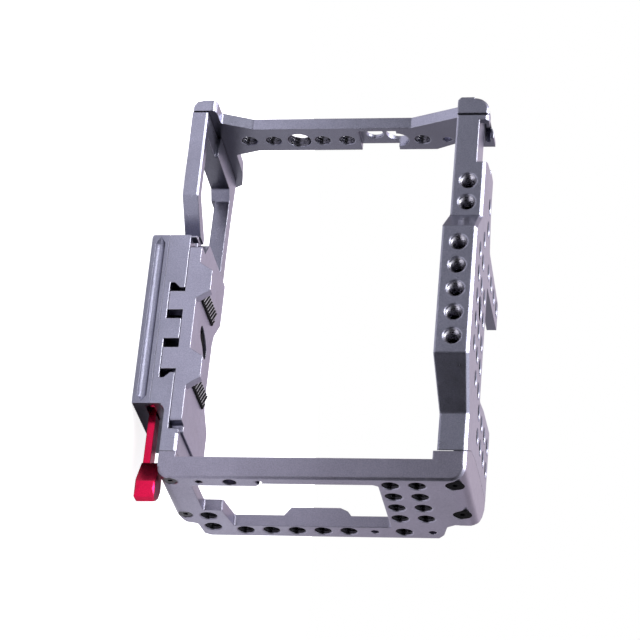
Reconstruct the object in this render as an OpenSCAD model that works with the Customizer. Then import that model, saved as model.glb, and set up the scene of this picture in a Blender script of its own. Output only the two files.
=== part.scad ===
// Camera cage for a large mirrorless camera, on a drop-in quick-release base with a lock lever.
// The lens looks along -Y. The grip side is -X, the port side is +X. The base stands on Z = 0.

/* [Cage] */
// Width over the two side frames
cage_w = 165.5; // [162:0.5:172]
// Height from the underside of the rails to the top face
cage_h = 117; // [113:0.5:124]
// Depth from the front of the side frames to the rear end of the top arms
cage_d = 64; // [62:0.5:70]
// How far the nose of the top plate stands in front of the side frames
nose_d = 12; // [9:0.5:14]
// Height of the rails above the surface that the base stands on
rail_z = 11.4; // [11.2:0.1:13]
// Gap that shows as a seam between two pieces of the cage
seam = 0.2; // [0.1:0.05:0.3]

/* [Side frames] */
// Thickness of the grip-side wall
wall_t = 5; // [4.6:0.1:6]
// Thickness of the port-side wall
port_wall_t = 4.7; // [4.4:0.1:5.4]
// Thickness of the front bar of the port-side frame
port_bar_t = 8.6; // [8:0.1:9.4]
// How far the underside of the port-side frame lies above the rails
port_lift = 1.6; // [1.2:0.1:2]
// Depth of the port-side frame from front to rear
port_d = 52.2; // [51:0.1:53]
// Radius of the outer corners at the top
top_corner_r = 6; // [5:0.5:6.5]
// Radius of the outer corners at the bottom
low_corner_r = 4.5; // [3:0.5:5]
// Chamfer of the front edges of the port-side frame
port_chamfer = 0.9; // [0.5:0.1:1.2]
// How far the grip bar is set back from the front
grip_setback = 14.5; // [12:0.5:16]
// Depth of the grip bar from front to rear
grip_bar_d = 16; // [15.5:0.5:18]
// Depth of the pocket in the inner face of the grip bar
grip_pocket_t = 3.2; // [2:0.1:3.4]

/* [Top plate] */
// Height of the front beam of the top plate
beam_h = 12.5; // [11.5:0.1:14]
// How much lower the nose hangs than the grip end of the beam
nose_drop = 0.8; // [0.4:0.1:1.2]
// How much higher the port end of the beam ends
port_beam_rise = 1.4; // [1:0.1:1.8]
// Depth of the front beam from front to rear
beam_d = 9.5; // [9:0.1:11]
// Thickness of the deck behind the beam
deck_t = 6.5; // [6:0.1:8]
// Thickness of the grip-side arm
arm_t = 3.8; // [3.4:0.1:5]
// Chamfer along the front top edge
top_chamfer = 1.1; // [0.5:0.1:1.4]

/* [Threads and screws] */
// Pitch of the hole grid
grid = 10; // [9.6:0.1:10.2]
// Bore of a 1/4 inch thread
small_thread_d = 6.35; // [6.2:0.05:6.5]
// Bore of a 3/8 inch thread
big_thread_d = 9.53; // [9.3:0.01:9.6]
// Chamfer at the mouth of each thread
mouth = 0.4; // [0.2:0.1:0.6]
// Diameter of the frame screws
screw_d = 3; // [2.5:0.1:3.2]
// Diameter of the heads of the frame screws
screw_head_d = 5.6; // [5:0.1:6]
// Clearance round the frame screws
screw_gap = 0.06; // [0.04:0.01:0.1]
// Diameter of the heads of the two screws at the port-side top corner
big_head_d = 7.2; // [6.6:0.1:7.4]

/* [Cold shoe] */
// Width of the channel under the lips
shoe_w = 18.7; // [18.5:0.1:19]
// Opening between the lips
shoe_mouth_w = 12.8; // [12.5:0.1:13.2]
// Height of the channel
shoe_h = 2.1; // [1.9:0.1:2.4]
// Thickness of the lips
shoe_lip_t = 1.4; // [1.2:0.1:1.6]

/* [Quick release] */
// Length of the receiver along X
base_l = 73; // [72:0.5:74]
// Depth of the receiver
base_d = 44; // [43:0.5:46]
// Thickness of the loose bottom plate of the base
foot_t = 7; // [6.8:0.1:7.2]
// Thickness of the rails of the bottom frame
rail_t = 6.2; // [6:0.1:6.8]
// Width of the front rail
rail_w = 5; // [4:0.2:6]
// How much lower the front rail sits than the rear rail
rail_drop = 1.5; // [1:0.1:1.8]
// Width of the rear rail
rear_rail_w = 7.2; // [6:0.2:8]
// Height of the top of the camera plate above the rails
plate_rise = 8.8; // [8.4:0.1:9.4]
// Thickness of the camera plate
plate_t = 4.6; // [4.2:0.1:4.9]
// Gap on each side of the tabs of the plate, so that it drops in blind
drop_gap = 3.9; // [3:0.1:4.4]
// Clearance between parts that move past each other
run = 0.3; // [0.25:0.05:0.4]
// Height of the two front lips that stop the camera turning
lip_h = 5.2; // [4:0.2:7]
// Thickness of the front lips
lip_t = 3.6; // [3:0.2:4.2]
// Height that the rubber pads stand above the plate
pad_proud = 0.5; // [0.3:0.1:0.8]
// Depth of the pockets for the rubber pads
pad_sink = 0.9; // [0.6:0.1:1.2]
// Width of the rubber pads
pad_w = 8; // [6:0.5:9]

/* [Lock lever] */
// How far the lever reaches past the port-side frame
lever_overhang = 7.8; // [6:0.2:9]
// Thickness of the arm of the lever
arm_h = 2.8; // [2.4:0.1:3]
// Width of the arm of the lever
arm_w = 6; // [5:0.2:6.2]
// Thickness of the thumb pad of the lever
thumb_h = 7.7; // [6.4:0.1:8]
// Radius of the lever round its shaft
boss_r = 5.6; // [5.2:0.1:5.8]
// Radius of the lever shaft
shaft_r = 2.5; // [2.2:0.1:2.8]
// Running fit of the shaft in its holes
shaft_fit = 0.05; // [0.03:0.01:0.08]
// Radius of the cam on the shaft
cam_r = 4; // [3.6:0.1:4.2]
// How far the cam is off centre
cam_throw = 1.4; // [1:0.1:1.5]

/* [Hidden] */

$fn = 48;
eps = 0.01;
// Small step where two chamfers meet
corner_step = 0.05;
far = 200;

titanium = [0.52, 0.52, 0.60];
titanium_dark = [0.42, 0.42, 0.49];
lever_red = [0.72, 0.05, 0.16];
steel = [0.62, 0.62, 0.64];
rubber = [0.07, 0.07, 0.08];

// Outer faces of the cage
total_w = cage_w + lever_overhang;
x_grip = -total_w / 2;
x_port = x_grip + cage_w;
y_nose = -(cage_d + nose_d) / 2;
y_front = y_nose + nose_d;
y_arm = y_front + cage_d;
z_top = rail_z + cage_h;

// Seams between the side frames and the plates
x_top_grip = x_grip + 7.3;
x_low_grip = x_grip + wall_t;
x_top_port = x_port - 12.1;
x_low_port = x_port - 10.8;

// Top plate: nose, hole grid and arms
nose_x = x_grip + 92;
nose_w = 54;
nose_slant_grip = 11.5;
nose_slant_port = 19;
grid_x = nose_x - 3.8;
row_y = [y_nose + 13.3, y_nose + 23.4, y_nose + 33.5];
front_hole_z = z_top - 6.7;
deck_y = y_front + 27.5;
arm_hole_x = grid_x - 2.5 * grid - 0.6;
port_arm_x = [grid_x + 3.65 * grid, grid_x + 4.65 * grid];

// Cold shoe
shoe_x = x_grip + 10.3;
shoe_y = y_front + 12.2;
shoe_floor_z = z_top - shoe_h - shoe_lip_t;
shoe_stop = 2.6;
shoe_rear = shoe_y + shoe_w / 2 + 3.6;
shoe_end_y = y_front + 16;
relief_x = x_grip + 30;

// Grip-side frame
y_grip = y_front + grip_setback;
y_grip_rear = y_grip + grip_bar_d;
z_low = rail_z - rail_drop;
z_grip_low = rail_z + 20;
z_grip_high = z_top - 32.7;
grip_hole_y = y_grip + 8.8;
grip_hole_z = rail_z + 17.3;

// Port-side frame
y_port_rear = y_front + port_d;
port_rear_y = y_port_rear - 5.1;
port_low_z = rail_z + port_lift;
strip_y = y_front + 3.8;

// Receiver and camera plate
base_x = x_grip + 61.8;
base_end = base_x + base_l;
y_base_rear = y_front + base_d;
lip_z = rail_z + 3.9;
floor_z = rail_z - 2;
plate_z = rail_z + plate_rise;
plate_low_z = plate_z - plate_t;
rail_top_z = rail_z + rail_t;
foot_rise = rail_t + 1.8;
plate_x = base_x + 5;
plate_end = x_low_port - 12.9;
plate_grip_x = base_x - 2;
plate_port_x = x_low_port - 9.5;
wall_d = 4.2;
tab_x = [plate_x + 19.9, plate_x + 44.2];
tab_w = [7.9, 9];
tab_low_z = floor_z + run;
boss_front = y_front + 9.5;
boss_rear = y_base_rear - 7;
boss_x = base_x + 4.5;
pad_x = [plate_x + 15.5, plate_x + 52];
slot_p = [plate_x + 31.3, y_front + 20];
slot_l = 8;
slot_turn = 62;
camera_screw_d = 6;
screw_low = 0.6;

// Lever, cam and jaw
pivot = [base_end - 7.4, y_front + 11.5];
lever_z = rail_z - 6.2;
slot_low_z = lever_z - run;
slot_top_z = lever_z + arm_h + run;
thumb_z = port_low_z - 0.45 - thumb_h;
swing = 35;
jaw_x = pivot[0] - 5;
jaw_w = 10;
tongue_end = jaw_x + 6;
boss_end = jaw_x - 5.6;
cam_lead = 14;
jaw_y = pivot[1] + cam_r + cam_throw * cos(cam_lead) + 0.3;
jaw_d = 9.6;
tongue_y = jaw_y + jaw_d + run;
tongue_w = 6;
shaft_low_z = 1.6;
shaft_top_z = plate_low_z - 0.5;
cam_low_z = floor_z + 0.2;

// ---------- helpers ----------

// Turns an outline drawn as (y, z) into a plate of thickness t along X
module side_plate(t) {
  rotate([90, 0, 90]) linear_extrude(t) children();
}

// Rounds the corners of an outline, outer and inner
module soften(r) {
  offset(r = r) offset(r = -2 * r) offset(r = r) children();
}

// Removes the outside of a corner that runs along Y, with a chamfer where it meets the front
module corner_tool(px, pz, sx, sz, r, c) {
  translate([px - sx * r, y_front, pz - sz * r])
    mirror([sx < 0 ? 1 : 0, 0, 0]) mirror([0, 0, sz < 0 ? 1 : 0])
      difference() {
        translate([0, -1, 0]) cube([r + 1, far, r + 1]);
        rotate([-90, 0, 0]) {
          translate([0, 0, -2]) cylinder(r = r - c, h = 2 + eps);
          cylinder(r1 = r - c, r2 = r, h = c);
          translate([0, 0, c - eps]) cylinder(r = r, h = far);
        }
      }
}

// Square bar that cuts a chamfer c along an edge of length l, turned to the edge's heading
module edge_tool(p, heading, l, c) {
  translate(p) rotate([0, 0, heading]) rotate([45, 0, 0])
    cube([l, c * sqrt(2), c * sqrt(2)], center = true);
}

// Upright bar that cuts a chamfer c along a vertical edge
module post_tool(x, y, z, h, c) {
  translate([x, y, z + h / 2]) rotate([0, 0, 45]) cube([c * sqrt(2), c * sqrt(2), h], center = true);
}

// Threaded hole along +Z from z = 0, open at both ends, with chamfered mouths
module thread_hole(d, h) {
  translate([0, 0, -eps]) cylinder(d = d, h = h + 2 * eps);
  translate([0, 0, -eps]) cylinder(d1 = d + 2 * mouth, d2 = d, h = mouth);
  translate([0, 0, h - mouth + eps]) cylinder(d1 = d, d2 = d + 2 * mouth, h = mouth);
}

// The same hole pointing along +X, and along +Y
module thread_hole_x(d, h) { rotate([0, 90, 0]) thread_hole(d, h); }
module thread_hole_y(d, h) { rotate([-90, 0, 0]) thread_hole(d, h); }

// Countersunk socket screw with its head face at z = 0 and its shank going down
module frame_screw(l, head_d = screw_head_d) {
  head_h = (head_d - screw_d) / 2;
  difference() {
    union() {
      translate([0, 0, -head_h]) cylinder(d1 = screw_d, d2 = head_d, h = head_h);
      translate([0, 0, -l]) cylinder(d = screw_d, h = l - head_h + eps);
    }
    translate([0, 0, -1.3]) cylinder(d = 2.3, h = 2, $fn = 6);
  }
}

// The hole that the screw sits in
module frame_screw_hole(l, head_d = screw_head_d) {
  g = 2 * screw_gap;
  head_h = (head_d - screw_d) / 2;
  translate([0, 0, -head_h - screw_gap])
    cylinder(d1 = screw_d + g, d2 = head_d + g, h = head_h);
  translate([0, 0, -screw_gap - eps]) cylinder(d = head_d + g, h = 3);
  translate([0, 0, -l - 0.5]) cylinder(d = screw_d + g, h = l);
}

// Places its children at the screws of one corner, heads outward: side -1 is grip, +1 is port
module at_corner_screws(side, top) {
  x = side < 0 ? x_grip : x_port;
  z = top ? (side < 0 ? z_top - 8.6 : z_top - 4.2) : (side < 0 ? z_low + 3.1 : rail_z + 6.3);
  ys = top ? (side < 0 ? [y_front + 5.1, y_front + 12.4] : [y_front + 5.2, y_front + 30.8])
           : (side < 0 ? [y_front + 2.9, y_front + 51] : [y_front + 3.6, y_front + 33.5]);
  for (y = ys) translate([x - side * 0.3, y, z]) rotate([0, side * 90, 0]) children();
}

screw_l = 16;
horn_screw_l = 25;
base_screw_l = 12;

// ---------- top plate ----------

// Front edge of the top plate, from the grip seam to the port seam
front_line = [[x_top_grip + seam, y_front], [nose_x - nose_w / 2 - nose_slant_grip, y_front],
              [nose_x - nose_w / 2, y_nose], [nose_x + nose_w / 2, y_nose],
              [nose_x + nose_w / 2 + nose_slant_port, y_front], [x_top_port - seam, y_front]];

// Underside of the beam, seen from the front
beam_line = [[-far, z_top - beam_h], [nose_x - nose_w / 2 - nose_slant_grip, z_top - beam_h],
             [nose_x - nose_w / 2, z_top - beam_h - nose_drop],
             [nose_x + nose_w / 2, z_top - beam_h - nose_drop],
             [nose_x + nose_w / 2 + nose_slant_port, z_top - beam_h + port_beam_rise],
             [far, z_top - beam_h + port_beam_rise]];

// Seam between the top plate and the port-side frame
port_seam = [[x_top_port, y_front - 1], [x_top_port, y_front], [x_top_port - 5.4, y_front + 11.4],
             [x_top_port - 7.9, y_front + 24.3], [x_top_port - 8.6, y_front + 42],
             [x_top_port - 7.6, y_arm + 1]];

module port_side_of_seam(gap) {
  offset(delta = -gap / 2) polygon(concat(port_seam, [[x_port + 5, y_arm + 1], [x_port + 5, y_front - 1]]));
}

module top_outline() {
  arm_in = arm_hole_x + 7.2;
  arm_out = arm_hole_x - 7.2;
  port_in = port_arm_x[0] - 8.4;
  difference() {
    soften(1.2) polygon(concat(front_line, [
      [x_top_port + 5, y_front], [x_top_port + 5, y_arm - 2],
      [port_in, y_arm - 2], [port_in + 0.8, deck_y + 13], [port_in + 3.2, deck_y],
      [arm_in, deck_y], [arm_in, y_arm], [arm_out + 2.4, y_arm], [arm_out - 1.6, deck_y + 1.6],
      [relief_x + 8, deck_y - 2.4], [relief_x - 6.4, shoe_rear], [relief_x - 6.8, shoe_end_y],
      [x_top_grip + seam, shoe_end_y]]));
    port_side_of_seam(-seam);
    translate([-far + x_top_grip + seam, -far / 2]) square([far, far]);
  }
}

// Strip behind the front edge that carries the full beam height
module beam_outline() {
  intersection() {
    top_outline();
    difference() {
      translate([-far, y_nose - 1]) square([2 * far, far]);
      soften(1.5) polygon([
        [-far, shoe_end_y], [x_top_grip + 12, shoe_end_y], [x_top_grip + 12, y_front + beam_d],
        [nose_x - nose_w / 2 - nose_slant_grip + 3.5, y_front + beam_d],
        [nose_x - nose_w / 2 + 3.5, y_nose + beam_d], [nose_x + nose_w / 2 - 3, y_nose + beam_d],
        [nose_x + nose_w / 2 + nose_slant_port - 3, y_front + beam_d], [far, y_front + beam_d],
        [far, far], [-far, far]]);
    }
  }
}

// Channel and mouth of the cold shoe, cut from the stop to past its open end
module shoe_cut() {
  x0 = x_grip + shoe_stop;
  l = shoe_x - x0 + 0.01;
  translate([x0, shoe_y - shoe_w / 2, shoe_floor_z]) cube([l, shoe_w, shoe_h]);
  translate([x0, shoe_y - shoe_mouth_w / 2, shoe_floor_z]) cube([l, shoe_mouth_w, far]);
}

module top_plate() {
  color(titanium)
  difference() {
    union() {
      translate([0, 0, z_top - deck_t]) linear_extrude(deck_t) top_outline();
      translate([0, 0, z_top - beam_h - nose_drop]) linear_extrude(beam_h + nose_drop) beam_outline();
    }
    // the beam's underside is lowest at the nose and highest at the port end
    translate([0, far, 0]) rotate([90, 0, 0]) linear_extrude(2 * far) polygon(concat(beam_line, [
      [far, 0], [-far, 0]]));
    // the grip-side arm is thinner than the deck
    translate([arm_hole_x - 12, deck_y + 2, z_top - deck_t - 1]) cube([24, far, deck_t + 1 - arm_t]);
    // front edge chamfers, top and bottom
    for (i = [0 : len(front_line) - 2]) {
      a = front_line[i];
      b = front_line[i + 1];
      m = (a + b) / 2;
      turn = atan2(b[1] - a[1], b[0] - a[0]);
      edge_tool([m[0], m[1], z_top], turn, norm(b - a) + 0.4, top_chamfer + (i % 2) * corner_step);
      if (i % 2 == 0)
        edge_tool([m[0], m[1], beam_line[i][1]], turn, norm(b - a) - 0.2, 0.5);
    }
    shoe_cut();
    // floor that an accessory foot slides over before it goes under the lips
    translate([shoe_x, y_front - 1, shoe_floor_z]) linear_extrude(far)
      polygon([[0, 0], [relief_x - shoe_x, 0], [relief_x - shoe_x - 3.4, 7],
               [relief_x - shoe_x - 5, 16], [relief_x - shoe_x - 5, 18], [0, 18]]);
    // threads in the front of the nose and of the grip-side beam
    for (i = [-2 : 2])
      translate([nose_x + i * grid, y_nose, front_hole_z]) thread_hole_y(small_thread_d, beam_d);
    for (i = [0, 1])
      translate([nose_x - 5.4 * grid + i * 0.96 * grid, y_front, front_hole_z + 0.3])
        thread_hole_y(small_thread_d, beam_d);
    // hole grid of the deck
    for (i = [-2 : 2]) deck_hole(grid_x + i * grid, row_y[0]);
    for (i = [-3, -2, -1, 1, 2, 3]) deck_hole(grid_x + i * grid, row_y[1]);
    for (i = [-5, -4, -1, 0, 1, 2, 3]) deck_hole(grid_x + i * grid, row_y[2] - (i < -1 ? 1 : 0));
    translate([grid_x, row_y[1], z_top - deck_t]) thread_hole(big_thread_d, deck_t);
    for (i = [0 : 3])
      translate([arm_hole_x, y_nose + 41.2 + i * grid, z_top - arm_t]) thread_hole(small_thread_d, arm_t);
    for (x = port_arm_x, i = [0 : 3]) deck_hole(x, y_nose + 38.9 + i * grid);
    at_corner_screws(-1, true) frame_screw_hole(screw_l);
    at_corner_screws(1, true) frame_screw_hole(horn_screw_l, big_head_d);
  }
}

// The holes near the beam pass through its full height
module deck_hole(x, y) {
  translate([x, y, z_top - deck_t]) thread_hole(small_thread_d, deck_t);
  translate([x, y, z_top - beam_h - 1]) cylinder(d = small_thread_d, h = beam_h);
}

// ---------- grip-side frame ----------

module grip_outline() {
  soften(1) polygon([
    [y_front, z_low], [y_front, rail_z + 6.6], [y_front + 2, rail_z + 7.9], [y_front + 9.7, rail_z + 8.1],
    [y_grip, z_grip_low], [y_grip, z_grip_high], [y_front + 7, z_top - beam_h - 0.6],
    [y_front, z_top - beam_h], [y_front, z_top], [shoe_rear, z_top],
    [shoe_rear, z_top - 13.5], [y_grip_rear, z_top - 24], [y_grip_rear, z_grip_low],
    [y_grip_rear + 3.4, rail_z + 10.2], [y_grip_rear + 17, rail_z + 10], [y_grip_rear + 27, rail_z + 8.2],
    [y_grip_rear + 29.5, rail_z + 4.5], [y_grip_rear + 29.5, z_low]]);
}

module grip_side_frame() {
  color(titanium)
  difference() {
    union() {
      translate([x_grip, 0, 0]) side_plate(wall_t - seam) grip_outline();
      translate([x_grip, y_front, z_top - beam_h]) cube([x_top_grip - x_grip, shoe_rear - y_front, beam_h]);
    }
    corner_tool(x_grip, z_top, -1, 1, top_corner_r, 0.8);
    corner_tool(x_grip, z_low, -1, -1, low_corner_r - 1, 0.5);
    edge_tool([x_grip, y_front, z_top], 0, 40, 0.9);
    edge_tool([x_grip, y_front - 1, z_top - beam_h], 90, 13, 1.3);
    shoe_cut();
    // threads along the bar: two small, one big, two small, one small near the top
    for (k = [0, 1, 3, 4, 7.05])
      translate([x_grip, grip_hole_y, grip_hole_z + k * grid]) thread_hole_x(small_thread_d, wall_t);
    translate([x_grip, grip_hole_y, grip_hole_z + 2.05 * grid]) thread_hole_x(big_thread_d, wall_t);
    translate([x_grip - 1, grip_hole_y, grip_hole_z + 8.05 * grid])
      rotate([0, 90, 0]) cylinder(d = 3.6, h = 20);
    // pocket that is open to the rear, with two threads in its floor
    translate([x_grip + wall_t - grip_pocket_t, y_grip + 2.2, z_top - 54.4]) cube([far, far, 15.2]);
    translate([x_grip, grip_hole_y, grip_hole_z + 5.1 * grid])
      thread_hole_x(small_thread_d, wall_t - grip_pocket_t);
    translate([x_grip, grip_hole_y, grip_hole_z + 6.03 * grid])
      rotate([0, 90, 0]) cylinder(d = big_thread_d, h = 20);
    at_corner_screws(-1, true) frame_screw_hole(screw_l);
    at_corner_screws(-1, false) frame_screw_hole(screw_l);
  }
}

// ---------- port-side frame ----------

module port_outline() {
  soften(1.2) polygon([
    [y_front, port_low_z], [y_front + 35, port_low_z], [y_front + 40, rail_z + 5.4],
    [y_front + 41.5, rail_z + 9.6],
    [y_port_rear - 1.6, rail_z + 10.6], [y_port_rear, rail_z + 13], [y_port_rear, z_top - 15.4],
    [y_port_rear - 3, z_top - 13.2], [y_port_rear - 10.4, z_top - 11.2], [y_port_rear - 12.4, z_top - 8],
    [y_port_rear - 12.4, z_top], [y_front, z_top]]);
}

// Opening over the camera's sockets
module port_window() {
  b = y_front;
  t = z_top;
  soften(0.9) polygon([
    [b + 7, rail_z + 13.8], [b + 29.4, rail_z + 13.8], [b + 29.4, rail_z + 21.3], [b + 33, rail_z + 21.8],
    [b + 43.2, rail_z + 23.3], [b + 43.2, t - 32.7], [b + 6, t - 32.7], [b + 4.8, t - 34.7],
    [b + 4.8, t - 76.7], [b + 7, t - 78.7]]);
}

// Top of the frame, seen from above, out to the rounded rear corner
module port_horn() {
  intersection() {
    port_side_of_seam(seam);
    soften(1.5) polygon([
      [x_top_port - 12, y_front], [x_port, y_front], [x_port, y_port_rear - 12.4],
      [x_port - 1.2, y_port_rear - 9.4], [x_port - 4.6, y_port_rear - 4.8],
      [x_port - 10.6, y_port_rear + 3.6],
      [x_port - 16, y_arm - 3],
      [x_port - 21, y_arm - 2], [x_top_port - 12, y_arm - 2]]);
  }
}

module port_side_frame() {
  color(titanium_dark)
  difference() {
    union() {
      translate([x_port - port_wall_t, 0, 0]) side_plate(port_wall_t) port_outline();
      // front bar, full height
      translate([x_port - port_bar_t, y_front, port_low_z]) cube([port_bar_t, 5.9, z_top - port_low_z]);
      // foot that meets the bottom frame
      translate([x_low_port, y_front, port_low_z]) cube([x_port - x_low_port, 35, foot_rise - port_lift]);
      // thicker middle of the rear rim of the window
      translate([x_port, y_port_rear, z_top - 74.5])
        rotate([90, 0, 0]) linear_extrude(port_d - 43.2)
          polygon([[-1, 0], [-port_wall_t, 0], [-8, 2.6], [-8, 21.6], [-6.6, 24.6],
                   [-port_wall_t, 26], [-1, 26]]);
      // horn that meets the top plate
      translate([0, 0, z_top - deck_t]) linear_extrude(deck_t) port_horn();
      translate([0, 0, z_top - beam_h]) linear_extrude(beam_h) intersection() {
        port_horn();
        translate([0, y_front]) square([far, beam_d]);
      }
    }
    corner_tool(x_port, z_top, 1, 1, top_corner_r, port_chamfer - corner_step);
    corner_tool(x_port, port_low_z, 1, -1, low_corner_r, port_chamfer - corner_step);
    post_tool(x_port, y_front, port_low_z + low_corner_r,
              z_top - port_low_z - low_corner_r - top_corner_r, port_chamfer);
    edge_tool([x_port - top_corner_r - 10, y_front, z_top], 0, 20, top_chamfer);
    translate([x_port - far / 2, 0, 0]) side_plate(far) port_window();
    // thread grid beside the top corner
    for (i = [0 : 3], z = [z_top - 28.3, z_top - 28.3 + grid])
      panel_hole(y_front + 5.6 + i * 0.97 * grid, z);
    // threads along the rear edge, with two plain holes among them
    for (i = [0 : 4]) panel_hole(port_rear_y, z_top - 89.6 + i * grid);
    panel_hole(port_rear_y, z_top - 28.3);
    for (z = [z_top - 39.5, z_top - 17.3]) plain_hole(port_rear_y, z, 3.2);
    panel_hole(y_front + 34.5, rail_z + 15.1);
    panel_hole(y_front + 44.3, rail_z + 15.1);
    // holes in the front strip
    plain_hole(strip_y, z_top - 88.2, 5.2);
    plain_hole(strip_y, z_top - 99.9, 2.9);
    plain_hole(strip_y, z_top - 77.2, 2.9);
    at_corner_screws(1, true) frame_screw_hole(horn_screw_l, big_head_d);
    at_corner_screws(1, false) frame_screw_hole(screw_l);
  }
}

module panel_hole(y, z) {
  translate([x_port - port_wall_t, y, z]) thread_hole_x(small_thread_d, port_wall_t);
  translate([x_port - port_bar_t - 1, y, z]) rotate([0, 90, 0]) cylinder(d = small_thread_d, h = port_bar_t);
}

module plain_hole(y, z, d) {
  translate([x_port - port_bar_t - 1, y, z]) rotate([0, 90, 0]) cylinder(d = d, h = port_bar_t + 2);
}

// ---------- bottom frame with the receiver ----------

module base_outline() {
  translate([base_x, y_front]) square([base_l, base_d]);
}

// Front rail and the strip along the grip-side frame, seen from above
module front_outline() {
  soften(1) polygon([
    [x_low_grip, y_front], [base_x - 18, y_front], [base_x - 6, y_front + 12], [base_x + 3, y_front + 12],
    [base_x + 3, y_front + 18], [base_x - 8.6, y_front + 18], [base_x - 20.6, y_front + rail_w],
    [x_low_grip + 9.6, y_front + rail_w], [x_low_grip + 9.6, y_base_rear],
    [x_low_grip + 14, y_base_rear + 10 - rear_rail_w], [x_low_grip + 14, y_base_rear + 10],
    [x_low_grip, y_base_rear + 10.6]]);
}

// Rear rail and the ground of the receiver, seen from above
module rear_outline() {
  soften(1) difference() {
    union() {
      polygon([[x_low_grip, y_front + 20], [base_x + 6, y_front + 12], [base_x + 6, y_base_rear + 8],
               [base_x - 18, y_base_rear + 8], [base_x - 38, y_base_rear + 9],
               [x_low_grip, y_base_rear + 11]]);
      // ground of the receiver and the strip that meets the port-side frame
      polygon([[base_x, y_front], [x_low_port - seam, y_front], [x_low_port - seam, y_front + 35],
               [plate_port_x - 12, y_base_rear - 2], [plate_port_x - 26, y_base_rear],
               [base_x, y_base_rear + 1]]);
    }
    // window between the rails
    polygon([[x_low_grip + 9.6, y_front], [base_x - 5.6, y_front],
             [base_x - 5.6, y_base_rear + 8 - rear_rail_w],
             [x_low_grip + 14, y_base_rear + 10 - rear_rail_w], [x_low_grip + 9.6, y_base_rear]]);
  }
}

module bottom_frame() {
  pocket_x0 = plate_x - drop_gap;
  pocket_x1 = plate_end + drop_gap - 0.4;
  color(titanium)
  difference() {
    union() {
      translate([0, 0, z_low]) linear_extrude(rail_t) front_outline();
      translate([0, 0, rail_z]) linear_extrude(rail_t) rear_outline();
      translate([plate_port_x + run, y_front, rail_z])
        cube([x_low_port - seam - plate_port_x - run, 35, foot_rise]);
      translate([0, 0, foot_t]) linear_extrude(lip_z - foot_t) base_outline();
    }
    // trough that the plate drops into, over the front wall and over the whole receiver
    translate([0, 0, lip_z]) linear_extrude(far) soften(0.8) polygon([
      [pocket_x0, y_front - 5], [pocket_x1, y_front - 5], [pocket_x1, y_front + wall_d],
      [plate_port_x + run, y_front + wall_d], [plate_port_x + run, far], [plate_grip_x - drop_gap, far],
      [plate_grip_x - drop_gap, y_front + 9], [pocket_x0, y_front + 5]]);
    // channel for the boss of the plate
    translate([boss_x - run, boss_front - run, floor_z])
      cube([boss_end - boss_x + 2 * run, boss_rear - boss_front + 2 * run, far]);
    // notches in the front wall for the tabs, each with an overhang at its outer end
    for (i = [0, 1]) {
      l = tab_w[i] + 2 * drop_gap;
      translate([tab_x[i] - drop_gap + i * l, y_front + wall_d + 5, floor_z]) mirror([i, 0, 0])
        rotate([90, 0, 0]) linear_extrude(wall_d + 6) polygon([
          [0, 0], [l, 0], [l, far], [2.2, far], [2.2, lip_z - floor_z - 1.8], [0, lip_z - floor_z - 4.1]]);
    }
    // cavity for the cam, the jaw and the tongue of the plate
    translate([pivot[0], pivot[1], floor_z]) cylinder(r = cam_r + cam_throw + run, h = far);
    translate([jaw_x - run, pivot[1], floor_z])
      cube([jaw_w + 2 * run, tongue_y + tongue_w + run - pivot[1], far]);
    translate([boss_end - 2, tongue_y - run, floor_z]) cube([jaw_x - boss_end + 4, tongue_w + 2 * run, far]);
    lever_slot();
    translate([pivot[0], pivot[1], foot_t - 1]) cylinder(r = shaft_r + shaft_fit, h = floor_z);
    // recess over the lever, with a rounded inner corner
    translate([base_end + 3.5, y_front - 1, foot_t - 1]) cube([far, far, port_low_z - foot_t + 1]);
    translate([base_end, y_front - 1, foot_t - 1]) cube([far, far, port_low_z - foot_t - 2.5]);
    translate([base_end + 3.5, y_front - 1, port_low_z - 3.5]) rotate([-90, 0, 0]) cylinder(r = 3.5, h = far);
    at_corner_screws(-1, false) frame_screw_hole(screw_l);
    at_corner_screws(1, false) frame_screw_hole(screw_l);
    at_base_screws() base_screw_hole();
    // chamfers along the upper front edges
    edge_tool([(x_low_grip + base_x - 18) / 2, y_front, z_low + rail_t], 0,
              base_x - 18 - x_low_grip, 0.7);
    edge_tool([(pocket_x1 + x_low_port) / 2 + 1, y_front, rail_z + foot_rise], 0,
              x_low_port - pocket_x1 - 1, 1);
    edge_tool([base_x, y_front + base_d / 2, foot_t], 90, base_d, 0.3);
  }
}

spring_p = [jaw_x + jaw_w - 2, jaw_y + jaw_d - 3, floor_z + 3];
spring_l = tongue_y + tongue_w - spring_p[1];

// Slot for the lever arm, open at the port end and wide enough for its swing
module lever_slot() {
  half = arm_w / 2 + 0.15 + run;
  ray = [cos(swing), -sin(swing)];
  side = half * [-sin(swing), -cos(swing)];
  translate([pivot[0], pivot[1], slot_low_z]) linear_extrude(slot_top_z - slot_low_z) {
    circle(r = boss_r + run);
    polygon([[0, 0], side, side + 60 * ray, [60, half], [0, half]]);
  }
}

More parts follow.
